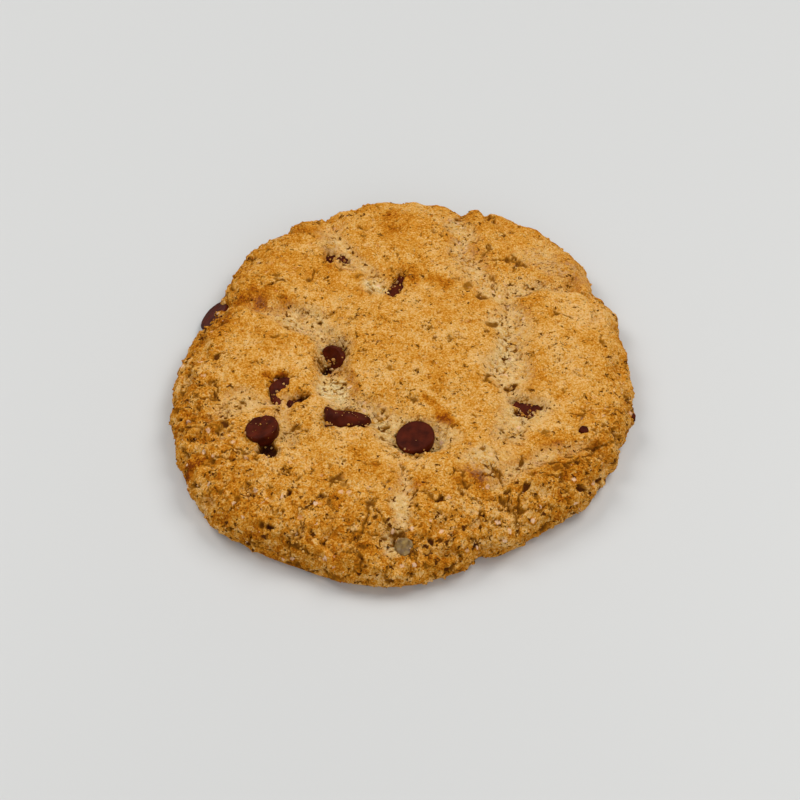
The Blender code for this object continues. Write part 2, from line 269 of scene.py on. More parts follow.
# Dents of a softened drop: size of the noise and depth, and how much each drop softened
DENTS = ((0.0022, 0.00022), (0.0009, 0.00010))
SOFTENED = {"chip_disc": 0.15, "chip_rim_left": 0.25, "chip_front_left": 0.8, "chip_bar": 1.0}
SOFTENED_OTHERS = 1.3

# Patches of the crust that browned more: x, y, half length, half width, turn, amount
BROWNED = (
    (-0.0330, 0.0170, 0.0095, 0.0045, -5, 1.0),
    (-0.0420, 0.0110, 0.0060, 0.0050, 60, 0.6),
    (0.0050, 0.0250, 0.0055, 0.0045, 0, 0.7),
    (-0.0120, -0.0060, 0.0090, 0.0022, 120, 0.6),
    (0.0082, -0.0148, 0.0062, 0.0017, -40, 1.3),
    (0.0310, -0.0210, 0.0060, 0.0040, 0, 0.6),
    (0.0425, -0.0220, 0.0050, 0.0035, 20, 0.4),
    (-0.0435, -0.0300, 0.0040, 0.0030, 0, 0.9),
    (-0.0100, -0.0290, 0.0070, 0.0050, 20, 0.5),
    (0.0140, -0.0310, 0.0050, 0.0040, 0, 0.6),
    (0.0040, -0.0340, 0.0045, 0.0045, 0, 0.4),
    (-0.0250, 0.0400, 0.0060, 0.0050, 30, 0.5),
    (-0.0040, 0.0460, 0.0050, 0.0040, 0, 0.4),
    (-0.0280, -0.0056, 0.0046, 0.0016, 20, 1.2),
)
# Patches where the crust tore and bared pale crumb: as above
PALE = (
    (-0.0150, -0.0090, 0.0062, 0.0040, -55, 1.0),
    (-0.0070, 0.0225, 0.0045, 0.0038, 20, 1.0),
    (0.0222, 0.0060, 0.0130, 0.0038, 88, 0.8),
    (0.0262, -0.0130, 0.0060, 0.0050, 0, 0.8),
    (0.0180, -0.0280, 0.0060, 0.0045, 40, 0.6),
    (-0.0250, 0.0100, 0.0065, 0.0032, -20, 0.8),
    (-0.0185, 0.0370, 0.0035, 0.0050, 0, 0.6),
    (0.0105, 0.0440, 0.0030, 0.0060, 0, 0.6),
    (-0.0040, -0.0180, 0.0050, 0.0028, -10, 0.8),
    (0.0005, -0.0410, 0.0018, 0.0080, 0, 0.7),
    (-0.0020, -0.0490, 0.0030, 0.0028, 0, 0.8),
    (0.0140, 0.0300, 0.0060, 0.0060, 0, 0.4),
    (0.0330, 0.0330, 0.0100, 0.0050, -20, 0.4),
    (0.0080, -0.0230, 0.0030, 0.0030, 0, 0.6),
)

# Meshes: squares along each side of the grids that wrap the dough and fill its base
SKIN_SQUARES = 288
BASE_SQUARES = 96
DROP_SIDES = 72
# Loose crumbs and grains of sugar: how many, and their diameters
CRUMB_COUNT = 2400
CRUMB_SIZES = (0.0004, 0.0011)
SUGAR_COUNT = 300
SUGAR_SIZES = (0.00018, 0.00036)
# Crumbs that cling to each chip: how many at the border of the dough, and how many specks
CLINGING = {
    "chip_bar": (14, 26),
    "chip_front_left": (5, 22),
    "chip_crescent": (7, 8),
    "chip_valley": (16, 10),
    "chip_right": (18, 8),
    "chip_back": (14, 5),
    "chip_back_left": (7, 2),
    "chip_disc": (6, 1),
}
BORDER_GAP = 0.0007
BORDER_CRUMBS = (0.0003, 0.0009)
SPECKS = (0.00010, 0.00030)
# Heights that loose crumbs and sugar keep between
LOWEST_GRAIN = 0.0009
HIGHEST_GRAIN = 0.0125
SEED = 11

# Light: each lamp's name, place, size and power, and the strength of the room
LAMPS = (
    ("back right", (0.40, 0.26, 0.66), 0.45, 3.3),
    ("back left", (-0.44, 0.24, 0.60), 0.40, 2.6),
    ("front", (0.10, -0.62, 0.40), 0.60, 1.8),
)
ROOM_STRENGTH = 0.31
# Camera: its place, the ways its right and its top point, and its lens in millimetres
CAMERA_PLACE = (-0.00066, -0.2598, 0.2990)
CAMERA_RIGHT = (0.99920, 0.03028, 0.02599)
CAMERA_UP = (-0.03991, 0.75818, 0.65082)
LENS_MM = 78.75


def paint(code):
    """Linear colour with alpha from an sRGB hex value."""
    parts = [int(code[place:place + 2], 16) / 255 for place in (0, 2, 4)]
    linear = [part / 12.92 if part <= 0.04045 else ((part + 0.055) / 1.055) ** 2.4 for part in parts]
    return (*linear, 1)


def add(tree, kind, inputs=None, **settings):
    """Add a shader node, with its settings, and set or link its inputs."""
    node = tree.nodes.new(kind)
    for name, value in settings.items():
        setattr(node, name, value)
    for name, value in (inputs or {}).items():
        if isinstance(value, bpy.types.NodeSocket):
            tree.links.new(value, node.inputs[name])
        else:
            node.inputs[name].default_value = value
    return node


def fill_ramp(node, stops):
    """Set a colour ramp's stops, as places from 0 to 1 and hex values."""
    elements = node.color_ramp.elements
    while len(elements) < len(stops):
        elements.new(0.5)
    for element, (place, code) in zip(elements, stops):
        element.position = place
        element.color = paint(code)


def smooth_step(value):
    """Ease from 0 to 1 as the value goes from 0 to 1."""
    value = np.clip(value, 0, 1)
    return value * value * (3 - 2 * value)


def cell_number(cell, channel):
    """A repeatable number from 0 to 1 for each whole-numbered cell."""
    mixed = cell @ np.array((73856093, 19349663, 83492791)) + channel * 49979687
    mixed = (mixed ^ (mixed >> 13)) * 1274126177
    mixed = mixed ^ (mixed >> 16)
    return (mixed & 0xFFFF) / 0xFFFF


def bumps(points, size, seed):
    """Smooth noise from about -1 to 1, its bumps about one size apart."""
    scaled = points / size
    corner = np.floor(scaled).astype(np.int64)
    part = scaled - corner
    fade = part**3 * (part * (part * 6 - 15) + 10)
    total = np.zeros(len(points))
    for step in product((0, 1), repeat=3):
        near = np.array(step)
        slope = np.stack([cell_number(corner + near, 3 * seed + axis) for axis in range(3)], axis=1)
        weight = np.prod(np.where(near, fade, 1 - fade), axis=1)
        total += weight * ((slope * 2 - 1) * (part - near)).sum(axis=1)
    return total * 1.8


def scatter_cells(points, size, seed):
    """Distances to the nearest and second of scattered seeds, the nearest's cell, and the way from it."""
    scaled = points / size
    corner = np.floor(scaled).astype(np.int64)
    nearest = np.full(len(points), np.inf)
    second = np.full(len(points), np.inf)
    owner = np.zeros_like(corner)
    offset = np.zeros_like(scaled)
    for step in product((-1, 0, 1), repeat=3):
        cell = corner + np.array(step)
        place = np.stack([cell_number(cell, 5 * seed + axis) for axis in range(3)], axis=1)
        reached = scaled - cell - place
        away = np.linalg.norm(reached, axis=1)
        closer = away < nearest
        second = np.where(closer, nearest, np.minimum(second, away))
        owner = np.where(closer[:, None], cell, owner)
        offset = np.where(closer[:, None], reached, offset)
        nearest = np.where(closer, away, nearest)
    return nearest * size, second * size, owner, offset * size


def reach(turn):
    """Radius of the dough's outline at a turn in radians."""
    angles = np.radians([angle for angle, _ in OUTLINE])
    radii = np.array([radius for _, radius in OUTLINE])
    count = len(OUTLINE)
    turn = np.mod(turn, math.tau)
    place = np.searchsorted(angles, turn, side="right") - 1
    start = angles[place]
    span = np.mod(angles[(place + 1) % count] - start, math.tau)
    share = (turn - start) / span
    before, here, ahead, beyond = (radii[(place + shift) % count] for shift in (-1, 0, 1, 2))
    curve = here + 0.5 * share * (
        ahead - before + share * (2 * before - 5 * here + 4 * ahead - beyond
                                  + share * (3 * (here - ahead) + beyond - before)))
    for angle, depth, half_width in NOTCHES:
        away = np.abs(np.mod(turn - math.radians(angle) + math.pi, math.tau) - math.pi)
        curve = curve - depth * np.exp(-((away / math.radians(half_width)) ** 2))
    return curve


def crown(share):
    """Height of the smooth top at a share of the reach, from 0 in the middle to 1."""
    rise = CROWN_HEIGHT - BULGE_HEIGHT - CROWN_SAG * share**2
    return BULGE_HEIGHT + rise * (1 - share**SHOULDER_POWER) ** (1 / EDGE_POWER)


def section():
    """The section as reach shares, heights, and lengths along it from 0 to 1."""
    top = 1 - np.linspace(1, 0, 240) ** 3
    tuck = np.linspace(0, math.pi / 2, 30)[1:]
    shares = np.concatenate((top, FOOT_SHARE + (1 - FOOT_SHARE) * np.cos(tuck)))
    heights = np.concatenate((crown(top), BULGE_HEIGHT * (1 - np.sin(tuck))))
    steps = np.hypot(np.diff(shares) * MEAN_REACH, np.diff(heights))
    lengths = np.concatenate(((0,), np.cumsum(steps)))
    return shares, heights, lengths / lengths[-1]


def turned(x, y, turn):
    """x, y as measured along and across a line at a turn in degrees."""
    cos, sin = math.cos(math.radians(turn)), math.sin(math.radians(turn))
    return x * cos + y * sin, y * cos - x * sin


def oval_distance(x, y, centre_x, centre_y, length, width, turn):
    """How far x, y is from the middle of an oval, in shares of its half sizes."""
    along, across = turned(x - centre_x, y - centre_y, turn)
    return np.hypot(along / length, across / width)


def swell_height(x, y):
    """Rise of the broad swells of the crust at x, y."""
    rise = np.zeros_like(x)
    for *oval, height in SWELLS:
        rise += height * (1 - smooth_step((oval_distance(x, y, *oval) - 0.55) / 0.65))
    return rise


def valley_depth(x, y):
    """Depth of the valleys of the crust at x, y."""
    depth = np.zeros_like(x)
    for deepest, half_width, way in VALLEYS:
        nearest = np.full_like(x, np.inf)
        for (start_x, start_y), (end_x, end_y) in zip(way, way[1:]):
            run_x, run_y = end_x - start_x, end_y - start_y
            along = ((x - start_x) * run_x + (y - start_y) * run_y) / (run_x**2 + run_y**2)
            along = np.clip(along, 0, 1)
            away = np.hypot(x - start_x - along * run_x, y - start_y - along * run_y)
            nearest = np.minimum(nearest, away)
        depth = np.maximum(depth, deepest * (1 - smooth_step((nearest / half_width - 0.15) / 1.25)))
    return depth


def hollow_depth(x, y):
    """Depth of the hollows of the crust round the chips at x, y."""
    depth = np.zeros_like(x)
    for *oval, deepest in HOLLOWS:
        depth = np.maximum(depth, deepest * (1 - smooth_step((oval_distance(x, y, *oval) - 0.5) / 0.7)))
    return depth


def patch_amount(x, y, patches):
    """How much of a patch's colour the crust has at x, y, from 0 to 1."""
    amount = np.zeros_like(x)
    for *oval, most in patches:
        amount = np.maximum(amount, most * (1 - smooth_step((oval_distance(x, y, *oval) - 0.3) / 0.9)))
    return amount


def crag_height(points, edge):
    """Height of the crags at each point; edge runs from 0 on the top to 1 at the rim."""
    rise = np.zeros(len(points))
    for order, (size, on_top, at_edge) in enumerate(CRAGS):
        rise += (on_top + (at_edge - on_top) * edge) * bumps(points, size, CRAG_SEED + order)
    pits = smooth_step((bumps(points, PIT_SPACING, CRAG_SEED + len(CRAGS)) - 0.22) / 0.3)
    return rise - (PIT_DEPTH_TOP + (PIT_DEPTH_EDGE - PIT_DEPTH_TOP) * edge) * pits


def wander(x, y):
    """x, y shifted a little, so that borders drawn there wander."""
    flat = np.stack((x, y, np.zeros_like(x)), axis=1)
    return (x + WANDER * bumps(flat, WANDER_SIZE, WANDER_SEED),
            y + WANDER * bumps(flat, WANDER_SIZE, WANDER_SEED + 1))


def form_height(x, y):
    """Rise and fall of the crust at x, y: its swells and valleys, with wandering borders."""
    x, y = wander(x, y)
    return swell_height(x, y) - valley_depth(x, y)


def crust_height(x, y):
    """Height of the crust at one place, without its crags."""
    x, y = np.array([x]), np.array([y])
    share = np.minimum(np.hypot(x, y) / reach(np.arctan2(y, x)), 1)
    return float((crown(share) + form_height(x, y))[0])


def square_to_round(across, along):
    """Turn, and share of the way from the middle to the foot, for places in a square."""
    wide = np.abs(across) > np.abs(along)
    far = np.where(wide, across, along)
    ratio = np.where(wide, along, across) / np.where(far == 0, 1, far)
    turn = np.where(wide, ratio, 2 - ratio) * math.pi / 4
    return np.where(far < 0, turn + math.pi, turn), np.abs(far)


def crumb_layer(points, broken, layer, seed):
    """Rise of one size of crumb, each leaning its own way, and depth where one broke away."""
    spacing, step, lean, lost_smooth, lost_rough, lost_depth = layer
    near, far, owner, offset = scatter_cells(points, spacing, seed)
    number, chance, *aim = (cell_number(owner, 7 * seed + channel) for channel in range(5))
    tilt = sum((share - 0.5) * offset[:, axis] for axis, share in enumerate(aim))
    rise = broken * (step * (number - 0.5) + 2 * lean * tilt)
    lost = chance < lost_smooth + (lost_rough - lost_smooth) * broken
    wall = smooth_step((far - near) / (0.35 * spacing))
    return rise, lost * wall * lost_depth * (0.5 + 0.5 * broken) * (0.6 + 0.8 * number)


def fine_crust(points, crumbly, torn):
    """Rise of the grains, crumbs, splits and cracks, and how deep in a pore each point is, which sets its
    painted shade.
    """
    broken = np.maximum(crumbly, torn)
    rise = np.zeros(len(points))
    for order, (size, smooth, rough) in enumerate(GRAINS):
        rise += (smooth + (rough - smooth) * broken) * bumps(points, size, SEED + order)
    drift = sum(share * np.stack([bumps(points, size, SEED + first + axis) for axis in range(3)], axis=1)
                for size, share, first in BENDS)
    bent = points + BEND_REACH * drift
    depth = np.zeros(len(points))
    for order, layer in enumerate(CRUMBS):
        lift, hole = crumb_layer(bent, broken, layer, SEED + 4 + order)
        rise += lift
        depth = np.maximum(depth, hole)
    near, far, _, _ = scatter_cells(bent, PLATE_SPACING, SEED + 6)
    opened = smooth_step((bumps(points, PLATE_PATCHES, SEED + 7) + 0.30 * crumbly - 0.30) / 0.25)
    crack = opened * np.exp(-(((far - near) / PLATE_CRACK_HALF) ** 2))
    line = 1 - np.abs(bumps(bent, DASH_SIZE, SEED + 10)) / 0.10
    gate = smooth_step((bumps(points, DASH_PATCHES, SEED + 12) - 0.24) / 0.12)
    dash = smooth_step(line) * gate
    depth = np.maximum.reduce((depth, crack * PLATE_CRACK_DEPTH, dash * DASH_DEPTH))
    return rise - depth, np.minimum(depth / DEEPEST_PORE, 1)


def dough_tone(base, form, crumbly, browned, back):
    """How brown the crust is at each point, from 0 to 1."""
    tone = BROWN + BROWN_CRUMBLY * crumbly
    for size, amount, order in BROWN_CLOUDS:
        tone += amount * bumps(base, size, SEED + order)
    tone += BROWN_HEIGHT * form + BROWN_PATCH * browned * (0.7 + 0.9 * bumps(base, 0.003, SEED + 32))
    tone += BROWN_BACK * smooth_step((back - 0.015) / 0.020)
    return np.clip(tone, 0, 1)


def ragged_hollow(x, y):
    """Depth of the hollows round the chips, with torn borders."""
    flat = np.stack((x, y, np.zeros_like(x)), axis=1)
    return hollow_depth(x + RAGGED * bumps(flat, RAGGED_SIZE, SEED + 50),
                        y + RAGGED * bumps(flat, RAGGED_SIZE, SEED + 51))


def dough_skin(across, along):
    """Points of the dough's skin for places in a square, its normals and its colour values."""
    turn, away = square_to_round(across, along)
    shares, heights, lengths = section()
    share = np.interp(away, lengths, shares)
    height = np.interp(away, lengths, heights)
    slope_out = np.interp(away, lengths, -np.gradient(heights, lengths))
    slope_up = np.interp(away, lengths, np.gradient(shares * MEAN_REACH, lengths))
    steepness = np.hypot(slope_out, slope_up)
    distance = share * reach(turn)
    x, y = distance * np.cos(turn), distance * np.sin(turn)
    base = np.stack((x, y, height), axis=1)
    edge = smooth_step((share - SHOULDER[0]) / SHOULDER[1])
    hollow = ragged_hollow(x, y)
    form = form_height(x, y) - hollow + crag_height(base, edge)
    crumbly_from = CRUMBLY_FROM + CRUMBLY_BACK * np.sin(turn) + CRUMBLY_RIGHT * np.cos(turn)
    crumbly = smooth_step((share - crumbly_from) / CRUMBLY_SPAN)
    valley = smooth_step(valley_depth(*wander(x, y)) / TORN_VALLEY)
    browned = patch_amount(*wander(x, y), BROWNED)
    pale = np.maximum(patch_amount(*wander(x, y), PALE), 0.55 * valley * (1 - edge))
    pale = pale * np.clip(1.2 - browned, 0, 1)
    torn = np.maximum.reduce((0.9 * pale, 0.8 * valley, smooth_step(hollow / TORN_HOLLOW)))
    fine, shaded_pore = fine_crust(base, crumbly, torn)
    # Painted shade: the deep middles of the hollows round the chips are darkened as the pores are
    tear = SHADE_TEAR * bumps(base, SHADE_TEAR_SIZE, SEED + 52)
    shaded_pore = np.maximum(shaded_pore, smooth_step((hollow + tear - SHADED_HOLLOW) / SHADE_SPAN))
    foot = smooth_step(height / BULGE_HEIGHT)
    normal = np.stack((np.cos(turn) * slope_out, np.sin(turn) * slope_out, slope_up), axis=1)
    normal /= steepness[:, None]
    points = base + normal * ((form + fine) * foot)[:, None]
    points[:, 2] = np.maximum(points[:, 2], 0)
    tone = dough_tone(base, form, crumbly, browned, y)
    rough = np.clip(np.maximum(crumbly, torn), LEAST_ROUGH, 1)
    return points, normal, {"toast": tone, "shaded_pore": shaded_pore, "pale": pale, "rough": rough}


def base_skin(across, along):
    """Points of the flat base inside its foot, with its colour values."""
    turn, away = square_to_round(across, along)
    distance = away * FOOT_SHARE * reach(turn) * BASE_SHARE
    points = np.stack((distance * np.cos(turn), distance * np.sin(turn), np.zeros_like(turn)), axis=1)
    shape = sum(share * bumps(points, size, SEED + order) for size, share, order in BASE_PITS)
    shaded_pore = smooth_step((shape - 0.30) / 0.3)
    points[:, 2] = BASE_PIT_DEPTH * shaded_pore
    tone = BASE_BROWN + 0.2 * smooth_step((away - 0.6) / 0.4) + 0.15 * bumps(points, 0.011, SEED + 42)
    flat = np.zeros_like(tone)
    # The base's pits are sunk and also darkened with painted shade
    return points, {"toast": np.clip(tone, 0, 1), "shaded_pore": 0.6 * shaded_pore, "pale": flat, "rough": flat + 0.3}


def grid_mesh(squares):
    """A square grid from -1 to 1, as a mesh to shape, and the places of its corners."""
    shell = bmesh.new()
    bmesh.ops.create_grid(shell, x_segments=squares, y_segments=squares, size=1)
    places = np.array([vertex.co for vertex in shell.verts])
    return shell, places[:, 0], places[:, 1]


def shape_mesh(shell, points, values):
    """Move a mesh's corners to their points and write its colour values."""
    layers = [(shell.verts.layers.float.new(name), value.tolist()) for name, value in values.items()]
    for vertex, point in zip(shell.verts, points):
        vertex.co = point
    shell.verts.index_update()
    for layer, value in layers:
        for vertex in shell.verts:
            vertex[layer] = value[vertex.index]


def finish_object(name, mesh, material):
    """An object of a mesh, smooth, with one material, linked to the scene."""
    mesh.materials.clear()
    mesh.materials.append(material)
    mesh.shade_smooth()
    piece = bpy.data.objects.new(name, mesh)
    bpy.context.scene.collection.objects.link(piece)
    return piece


def make_dough(material):
    """The dough: a fine grid over its top and edge, a coarser one under it, and a seam."""
    shell, across, along = grid_mesh(SKIN_SQUARES)
    points, _, values = dough_skin(across, along)
    shape_mesh(shell, points, values)
    skin = bpy.data.meshes.new("skin")
    shell.to_mesh(skin)
    shell.free()
    under, across, along = grid_mesh(BASE_SQUARES)
    base_points, base_values = base_skin(across, along)
    shape_mesh(under, base_points, base_values)
    bmesh.ops.reverse_faces(under, faces=under.faces)
    base = bpy.data.meshes.new("base")
    under.to_mesh(base)
    under.free()
    whole = bmesh.new()
    whole.from_mesh(skin)
    whole.from_mesh(base)
    rims = [edge for edge in whole.edges if edge.is_boundary]
    bmesh.ops.bridge_loops(whole, edges=rims)
    bmesh.ops.recalc_face_normals(whole, faces=whole.faces)
    mesh = bpy.data.meshes.new("dough")
    whole.to_mesh(mesh)
    whole.free()
    for spare in (skin, base):
        bpy.data.meshes.remove(spare)
    return finish_object("dough", mesh, material)


def crust_color(tree, toast, pale, rough, patterns):
    """Colour of the crust without its pits: gold to brown, and cream where it tore."""
    tone = toast
    for name, amount in TONE_SWINGS.items():
        swing = add(tree, "ShaderNodeMath", {0: patterns[name], 1: 0.5}, operation="SUBTRACT").outputs[0]
        if name == "flake":
            swing = add(tree, "ShaderNodeMath", {0: swing, 1: rough}, operation="MULTIPLY").outputs[0]
        moved = add(tree, "ShaderNodeMath", {0: swing, 1: amount, 2: tone}, operation="MULTIPLY_ADD")
        tone = moved.outputs[0]
    crust = add(tree, "ShaderNodeValToRGB", {"Fac": tone})
    fill_ramp(crust, CRUST_COLORS)
    clump = patterns["clump"]
    light = add(tree, "ShaderNodeMapRange", {"Value": clump, "From Min": 0.38, "From Max": 0.60}).outputs[0]
    crumb = add(tree, "ShaderNodeMix", {0: light, 6: paint("BE9444"), 7: paint("EED49E")}, data_type="RGBA")
    torn = add(tree, "ShaderNodeMapRange", {"Value": clump, "From Min": 0.32, "From Max": 0.50}).outputs[0]
    bared = add(tree, "ShaderNodeMath", {0: pale, 1: torn}, operation="MULTIPLY").outputs[0]
    mixed = add(tree, "ShaderNodeMix", {0: bared, 6: crust.outputs["Color"], 7: crumb.outputs[2]},
                data_type="RGBA")
    return mixed.outputs[2]


def crust_gaps(tree, bent, pale, rough, patterns):
    """Width of the gaps between crumbs of two sizes, most of them where the crust is torn."""
    for size, source in zip(GAP_SIZES, ("loose", "mottle")):
        crumbs = add(tree, "ShaderNodeTexVoronoi", {"Vector": bent, "Scale": 1 / size},
                     feature="DISTANCE_TO_EDGE")
        eager = patterns[source]
        for more in (pale, rough):
            likelier = add(tree, "ShaderNodeMath", {0: more, 1: 0.06, 2: eager}, operation="MULTIPLY_ADD")
            eager = likelier.outputs[0]
        opened = add(tree, "ShaderNodeMapRange",
                     {"Value": eager, "From Min": 0.64, "From Max": 0.86, "To Max": 0.17}).outputs[0]
        gap = add(tree, "ShaderNodeMath", {0: opened, 1: crumbs.outputs["Distance"]}, operation="SUBTRACT")
        yield gap.outputs[0]


def crust_pits(tree, bent, shaded_pore, pale, rough, patterns):
    """How deep in a speck, prick, gap, split or pore of the crust a place is, from 0 to 1, for its bump and
    its painted shade.
    """
    gathered = []
    for name, cloud, amount in (("speck", "loose", 0.22), ("prick", "patchy", 0.25)):
        swing = add(tree, "ShaderNodeMath", {0: patterns[cloud], 1: 0.5}, operation="SUBTRACT").outputs[0]
        gathered.append(add(tree, "ShaderNodeMath", {0: swing, 1: amount, 2: patterns[name]},
                            operation="MULTIPLY_ADD").outputs[0])
    speck, prick = gathered
    border = add(tree, "ShaderNodeMath", {0: rough, 1: -0.050, 2: 0.640}, operation="MULTIPLY_ADD")
    speck = add(tree, "ShaderNodeMath", {0: speck, 1: border.outputs[0]}, operation="SUBTRACT").outputs[0]
    long = add(tree, "ShaderNodeMapping", {"Vector": bent, "Rotation": (0, 0, 0.35), "Scale": (0.4, 1, 1)})
    streak = add(tree, "ShaderNodeTexNoise",
                 {"Vector": long.outputs[0], "Scale": 1 / SPLIT_SIZE, "Detail": 1.5})
    rarity = add(tree, "ShaderNodeMath", {0: patterns["patchy"], 1: -0.12, 2: 0.768},
                 operation="MULTIPLY_ADD")
    split = add(tree, "ShaderNodeMath", {0: streak.outputs["Fac"], 1: rarity.outputs[0]},
                operation="SUBTRACT")
    wide, narrow = crust_gaps(tree, bent, pale, rough, patterns)
    shaded_pit = 0
    for value, start, full, depth in (
        (speck, 0.0, 0.085, 1.0),
        (prick, 0.655, 0.74, 0.56),
        (wide, 0.0, 0.09, 0.65),
        (narrow, 0.0, 0.09, 0.65),
        (split.outputs[0], 0.0, 0.06, 1.0),
        (shaded_pore, 0.10, 0.75, 1.0),
    ):
        sunk = add(tree, "ShaderNodeMapRange",
                   {"Value": value, "From Min": start, "From Max": full, "To Max": depth}).outputs[0]
        shaded_pit = add(tree, "ShaderNodeMath", {0: shaded_pit, 1: sunk}, operation="MAXIMUM").outputs[0]
    return shaded_pit


def shade_pits(tree, color, shaded_pit, toast, shaded_pore):
    """The crust's colour with painted shade in its pits: amber at their rims, brown inside, dark in deep
    pores.
    """
    amber = add(tree, "ShaderNodeMix", {0: toast, 6: paint("9C670C"), 7: paint("8C4A02")}, data_type="RGBA")
    deep = add(tree, "ShaderNodeMix", {0: toast, 6: paint("5E3204"), 7: paint("481802")}, data_type="RGBA")
    for depth, start, full, most, shade_color in (
        (shaded_pit, 0.0, 0.45, 0.92, amber.outputs[2]),
        (shaded_pit, 0.45, 1.0, 1.0, deep.outputs[2]),
        (shaded_pore, 0.82, 1.0, 1.0, paint("341206")),
    ):
        share = add(tree, "ShaderNodeMapRange",
                    {"Value": depth, "From Min": start, "From Max": full, "To Max": most}).outputs[0]
        color = add(tree, "ShaderNodeMix", {0: share, 6: color, 7: shade_color}, data_type="RGBA").outputs[2]
    return color


def baked_dough():
    """
    Baked cookie dough: butter, sugar and flour, dried by the oven to a sandy crust.
    It is matt and grainy, golden where it rose, browner on ridges and at the edge,
    cream where the crust tore, with painted shade from amber to dark brown down in its pores, and a painted
    glint on specks of sugar.
    """
    material = bpy.data.materials.new("baked dough")
    material.use_nodes = True
    tree = material.node_tree
    surface = tree.nodes["Principled BSDF"]
    place = add(tree, "ShaderNodeTexCoord").outputs["Object"]
    toast, shaded_pore, pale, rough = (
        add(tree, "ShaderNodeAttribute", attribute_name=name).outputs["Fac"]
        for name in ("toast", "shaded_pore", "pale", "rough"))
    drift = add(tree, "ShaderNodeTexNoise", {"Vector": place, "Scale": 1 / BEND_SIZE, "Detail": 2.0})
    bent = add(tree, "ShaderNodeVectorMath", {0: drift.outputs["Color"], 1: (BEND_SIZE,) * 3, 2: place},
               operation="MULTIPLY_ADD").outputs[0]
    flake = add(tree, "ShaderNodeTexVoronoi", {"Vector": bent, "Scale": 1 / FLAKE_SIZE})
    chance = add(tree, "ShaderNodeSeparateColor", {"Color": flake.outputs["Color"]})
    patterns = {"flake": chance.outputs["Red"]}
    for name, (size, detail, roughness, swirl, bends) in PATTERNS.items():
        cloud = add(tree, "ShaderNodeTexNoise",
                    {"Vector": bent if bends else place, "Scale": 1 / size, "Detail": detail,
                     "Roughness": roughness, "Distortion": swirl})
        patterns[name] = cloud.outputs["Fac"]

    color = crust_color(tree, toast, pale, rough, patterns)
    # Painted shade: the pits, gaps and splits darken the crust as if shaded, and also dent its bump
    shaded_pit = crust_pits(tree, bent, shaded_pore, pale, rough, patterns)
    color = shade_pits(tree, color, shaded_pit, toast, shaded_pore)
    # Specks of sugar where the crust is rough: pale pink-white, partly their own colour and partly a painted
    # glint
    sugar = add(tree, "ShaderNodeMapRange",
                {"Value": chance.outputs["Green"], "From Min": 0.93, "From Max": 0.96}).outputs[0]
    inside = add(tree, "ShaderNodeMapRange",
                 {"Value": flake.outputs["Distance"], "From Min": 0.42, "From Max": 0.25}).outputs[0]
    glint = add(tree, "ShaderNodeMath", {0: sugar, 1: inside}, operation="MULTIPLY").outputs[0]
    glint = add(tree, "ShaderNodeMath", {0: glint, 1: rough}, operation="MULTIPLY").outputs[0]
    color = add(tree, "ShaderNodeMix", {0: glint, 6: color, 7: paint("EFC49C")}, data_type="RGBA").outputs[2]

    height = add(tree, "ShaderNodeMath", {0: patterns["grain"], 1: 0.9, 2: patterns["mottle"]},
                 operation="MULTIPLY_ADD").outputs[0]
    height = add(tree, "ShaderNodeMath", {0: shaded_pit, 1: -0.55, 2: height}, operation="MULTIPLY_ADD").outputs[0]
    slope = add(tree, "ShaderNodeBump", {"Height": height, "Strength": 0.85, "Distance": 0.55 * MM})
    lean = add(tree, "ShaderNodeMath", {0: chance.outputs["Blue"], 1: rough}, operation="MULTIPLY")
    relief = add(tree, "ShaderNodeBump",
                 {"Height": lean.outputs[0], "Strength": 0.6, "Distance": 0.30 * MM,
                  "Normal": slope.outputs["Normal"]})
    tree.links.new(color, surface.inputs["Base Color"])
    tree.links.new(relief.outputs["Normal"], surface.inputs["Normal"])
    surface.inputs["Roughness"].default_value = 0.85
    surface.inputs["IOR"].default_value = 1.45
    surface.inputs["Specular IOR Level"].default_value = 0.1
    surface.inputs["Subsurface Weight"].default_value = 0.10
    surface.inputs["Subsurface Radius"].default_value = (1.0, 0.45, 0.15)
    surface.inputs["Subsurface Scale"].default_value = 0.6 * MM
    return material


def dark_chocolate():
    """
    Dark chocolate, deposited as drops and softened by the oven, then set again.
    It is satin, nearly black where turned away, red brown where the light grazes it.
    """
    material = bpy.data.materials.new("dark chocolate")
    material.use_nodes = True
    tree = material.node_tree
    surface = tree.nodes["Principled BSDF"]
    place = add(tree, "ShaderNodeTexCoord").outputs["Object"]
    bloom = add(tree, "ShaderNodeTexNoise", {"Vector": place, "Scale": 1 / (2.2 * MM), "Detail": 5.0})
    color = add(tree, "ShaderNodeValToRGB", {"Fac": bloom.outputs["Fac"]})
    fill_ramp(color, ((0.35, "380F04"), (0.70, "581D0A")))
    scuff = add(tree, "ShaderNodeTexNoise", {"Vector": place, "Scale": 1 / (0.5 * MM), "Detail": 3.0})
    relief = add(tree, "ShaderNodeBump",
                 {"Height": scuff.outputs["Fac"], "Strength": 0.5, "Distance": 0.10 * MM})
    tree.links.new(color.outputs["Color"], surface.inputs["Base Color"])
    tree.links.new(relief.outputs["Normal"], surface.inputs["Normal"])
    surface.inputs["Roughness"].default_value = 0.48
    surface.inputs["IOR"].default_value = 1.47
    surface.inputs["Specular IOR Level"].default_value = 0.06
    return material


